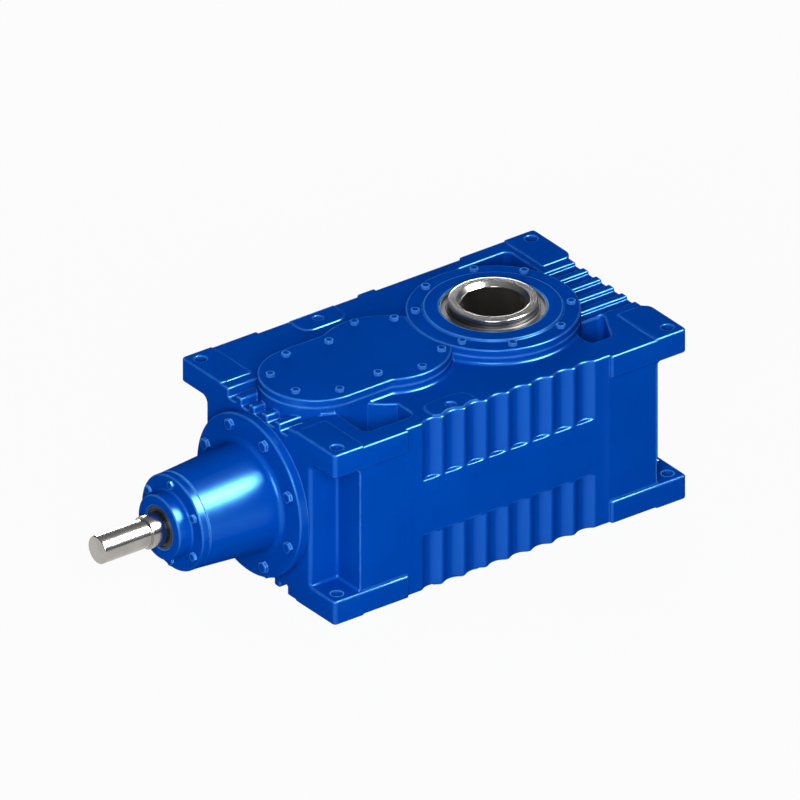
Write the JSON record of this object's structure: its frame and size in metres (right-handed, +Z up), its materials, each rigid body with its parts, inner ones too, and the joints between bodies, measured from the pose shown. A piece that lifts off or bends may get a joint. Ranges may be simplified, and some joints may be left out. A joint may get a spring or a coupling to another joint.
{
  "type": "gear unit",
  "caption": "Blue cast gear unit with a horizontal input shaft on a flanged cone and an upright hollow output shaft, with its bevel and spur gear train inside.",
  "frame": {"origin": "under the middle of the whole unit, on the plane that the feet stand on", "axes": "+X from the input shaft towards the output shaft, +Z up along the hollow shaft"},
  "size_m": [0.7374, 0.2944, 0.253],
  "materials": {
    "blue_paint": "semi-gloss blue paint on cast iron",
    "gear_steel": "machined",
    "polished_steel": "ground bright",
    "seal_rubber": "moulded black"
  },
  "bodies": {
    "casing": {"housing": "blue_paint", "intermediate_cover": "blue_paint", "output_cover": "blue_paint", "bottom_cover": "blue_paint", "input_cartridge": "blue_paint", "input_end_cover": "blue_paint", "intermediate_cover_bolt_1": "blue_paint", "intermediate_cover_bolt_2": "blue_paint", "intermediate_cover_bolt_3": "blue_paint", "intermediate_cover_bolt_4": "blue_paint", "intermediate_cover_bolt_5": "blue_paint", "intermediate_cover_bolt_6": "blue_paint", "intermediate_cover_bolt_7": "blue_paint", "intermediate_cover_bolt_8": "blue_paint", "intermediate_cover_bolt_9": "blue_paint", "intermediate_cover_bolt_10": "blue_paint", "output_cover_bolt_1": "blue_paint", "output_cover_bolt_2": "blue_paint", "output_cover_bolt_3": "blue_paint", "output_cover_bolt_4": "blue_paint", "output_cover_bolt_5": "blue_paint", "output_cover_bolt_6": "blue_paint", "output_cover_bolt_7": "blue_paint", "output_cover_bolt_8": "blue_paint", "flange_bolt_1": "blue_paint", "flange_bolt_2": "blue_paint", "flange_bolt_3": "blue_paint", "flange_bolt_4": "blue_paint", "flange_bolt_5": "blue_paint", "flange_bolt_6": "blue_paint", "flange_bolt_7": "blue_paint", "flange_bolt_8": "blue_paint", "nose_bolt_1": "blue_paint", "nose_bolt_2": "blue_paint", "nose_bolt_3": "blue_paint", "nose_bolt_4": "blue_paint", "nose_bolt_5": "blue_paint", "nose_bolt_6": "blue_paint", "input_seal": "seal_rubber", "output_seal_top": "seal_rubber", "output_seal_bottom": "seal_rubber", "input_front_bearing": "gear_steel", "input_rear_bearing": "gear_steel", "first_lower_bearing": "gear_steel", "first_upper_bearing": "gear_steel", "second_lower_bearing": "gear_steel", "second_upper_bearing": "gear_steel", "output_lower_bearing": "gear_steel", "output_upper_bearing": "gear_steel"},
    "input": {"input_shaft": "polished_steel", "input_spacer": "gear_steel"},
    "first": {"first_pinion_shaft": "gear_steel", "bevel_wheel": "gear_steel", "bevel_wheel_key": "gear_steel"},
    "second": {"second_pinion_shaft": "gear_steel", "second_wheel": "gear_steel", "second_wheel_key": "gear_steel"},
    "output": {"hollow_shaft": "polished_steel", "output_wheel": "gear_steel", "output_wheel_key": "gear_steel"}
  },
  "joints": [
    {"name": "output_spin", "type": "hinge", "parent": "casing", "child": "output", "pos_m": [0.20064, 0, 0.11175], "axis": [0, 0, 1], "continuous": true},
    {"name": "second_spin", "type": "hinge", "parent": "casing", "child": "second", "pos_m": [0.04534, 0, 0.11175], "axis": [0, 0, 1], "continuous": true},
    {"name": "first_spin", "type": "hinge", "parent": "casing", "child": "first", "pos_m": [-0.05566, 0, 0.11175], "axis": [0, 0, 1], "continuous": true},
    {"name": "input_spin", "type": "hinge", "parent": "casing", "child": "input", "pos_m": [-0.13766, 0, 0.11175], "axis": [1, 0, 0], "continuous": true}
  ],
  "couplings": [
    {"joint": "second_spin", "follows": "output_spin", "ratio": -2.5625},
    {"joint": "first_spin", "follows": "output_spin", "ratio": 7.4904},
    {"joint": "input_spin", "follows": "output_spin", "ratio": -17.977}
  ]
}
